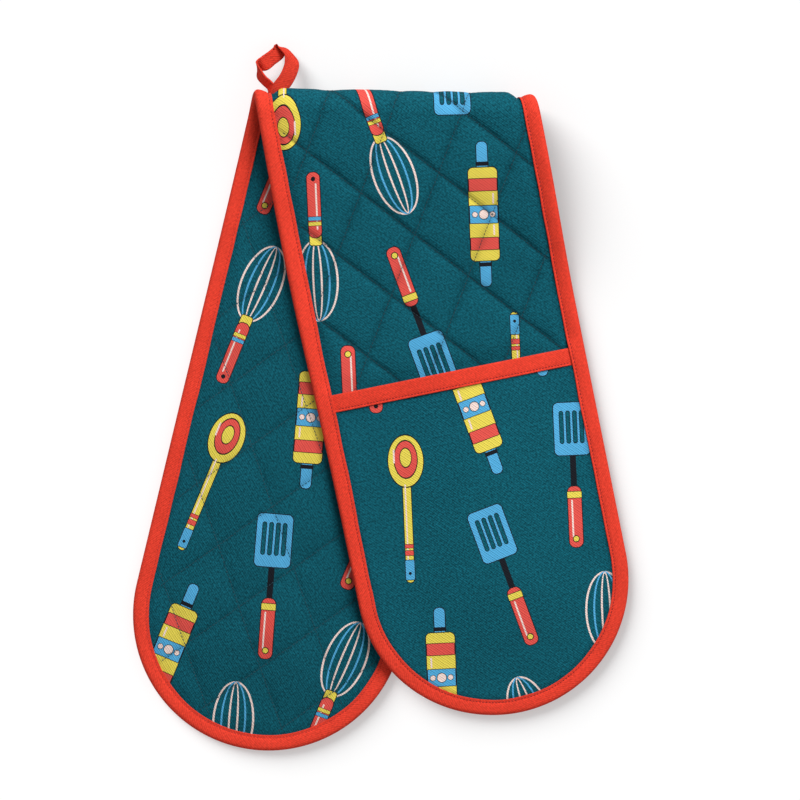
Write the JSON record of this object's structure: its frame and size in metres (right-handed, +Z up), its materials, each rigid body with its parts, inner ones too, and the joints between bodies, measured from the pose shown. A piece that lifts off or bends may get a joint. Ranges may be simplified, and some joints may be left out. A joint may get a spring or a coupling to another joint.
{
  "type": "double oven glove",
  "caption": "Quilted cloth strip with a hand pocket on each end, folded in the middle, bound with tape, with a hanging loop at the fold.",
  "frame": {"origin": "centre of the bounding box in plan, on the surface that the glove lies on", "axes": "+Z up from the table, +Y from the round ends towards the fold, +X to the right, along the fold"},
  "size_m": [0.3282, 0.4691, 0.0304],
  "materials": {
    "printed_cotton": "dark teal printed cotton, plain weave, matt",
    "lining": "plain teal cotton, matt",
    "wadding": "off-white felted cotton wadding",
    "binding_tape": "orange-red cotton tape, matt, stitched along its edge"
  },
  "bodies": {
    "rear_half": {"rear_outer_fabric": "printed_cotton", "rear_wadding": "wadding", "rear_inner_fabric": "printed_cotton", "rear_edge_binding": "binding_tape"},
    "front_half": {"front_outer_fabric": "printed_cotton", "front_wadding": "wadding", "front_inner_fabric": "printed_cotton", "front_edge_binding": "binding_tape"},
    "fold_middle": {"fold_outer_fabric": "printed_cotton", "fold_wadding": "wadding", "fold_inner_fabric": "printed_cotton", "fold_left_binding": "binding_tape", "fold_right_binding": "binding_tape"},
    "rear_pocket": {"rear_pocket_fabric": "printed_cotton", "rear_pocket_lining": "lining", "rear_pocket_mouth_binding": "binding_tape"},
    "front_pocket": {"front_pocket_fabric": "printed_cotton", "front_pocket_lining": "lining", "front_pocket_mouth_binding": "binding_tape"},
    "hanging_loop": {"hanging_loop": "binding_tape"}
  },
  "joints": [
    {"name": "fold_open", "type": "hinge", "parent": "rear_half", "child": "front_half", "pos_m": [0.00291, 0.18703, 0.0152], "axis": [-1, 0, 0], "range_deg": [0, 179]},
    {"name": "fold_turn", "type": "hinge", "parent": "rear_half", "child": "fold_middle", "pos_m": [0.00291, 0.18703, 0.0152], "axis": [-1, 0, 0], "range_deg": [0, 90], "deforming": ["fold_outer_fabric", "fold_wadding", "fold_inner_fabric", "fold_left_binding", "fold_right_binding"]},
    {"name": "front_pocket_open", "type": "hinge", "parent": "front_half", "child": "front_pocket", "pos_m": [0.09113, -0.19511, 0.0071], "axis": [0.9765, 0.2156, 0], "range_deg": [0, 12]},
    {"name": "rear_pocket_open", "type": "hinge", "parent": "rear_half", "child": "rear_pocket", "pos_m": [-0.09113, -0.22147, 0.0008], "axis": [-0.9765, 0.2156, 0], "range_deg": [0, 12]},
    {"name": "loop_swing", "type": "hinge", "parent": "fold_middle", "child": "hanging_loop", "pos_m": [-0.07926, 0.20543, 0.0152], "axis": [1, 0, 0], "range_deg": [0, 60]}
  ],
  "couplings": [
    {"joint": "fold_turn", "follows": "fold_open", "ratio": 0.5}
  ]
}
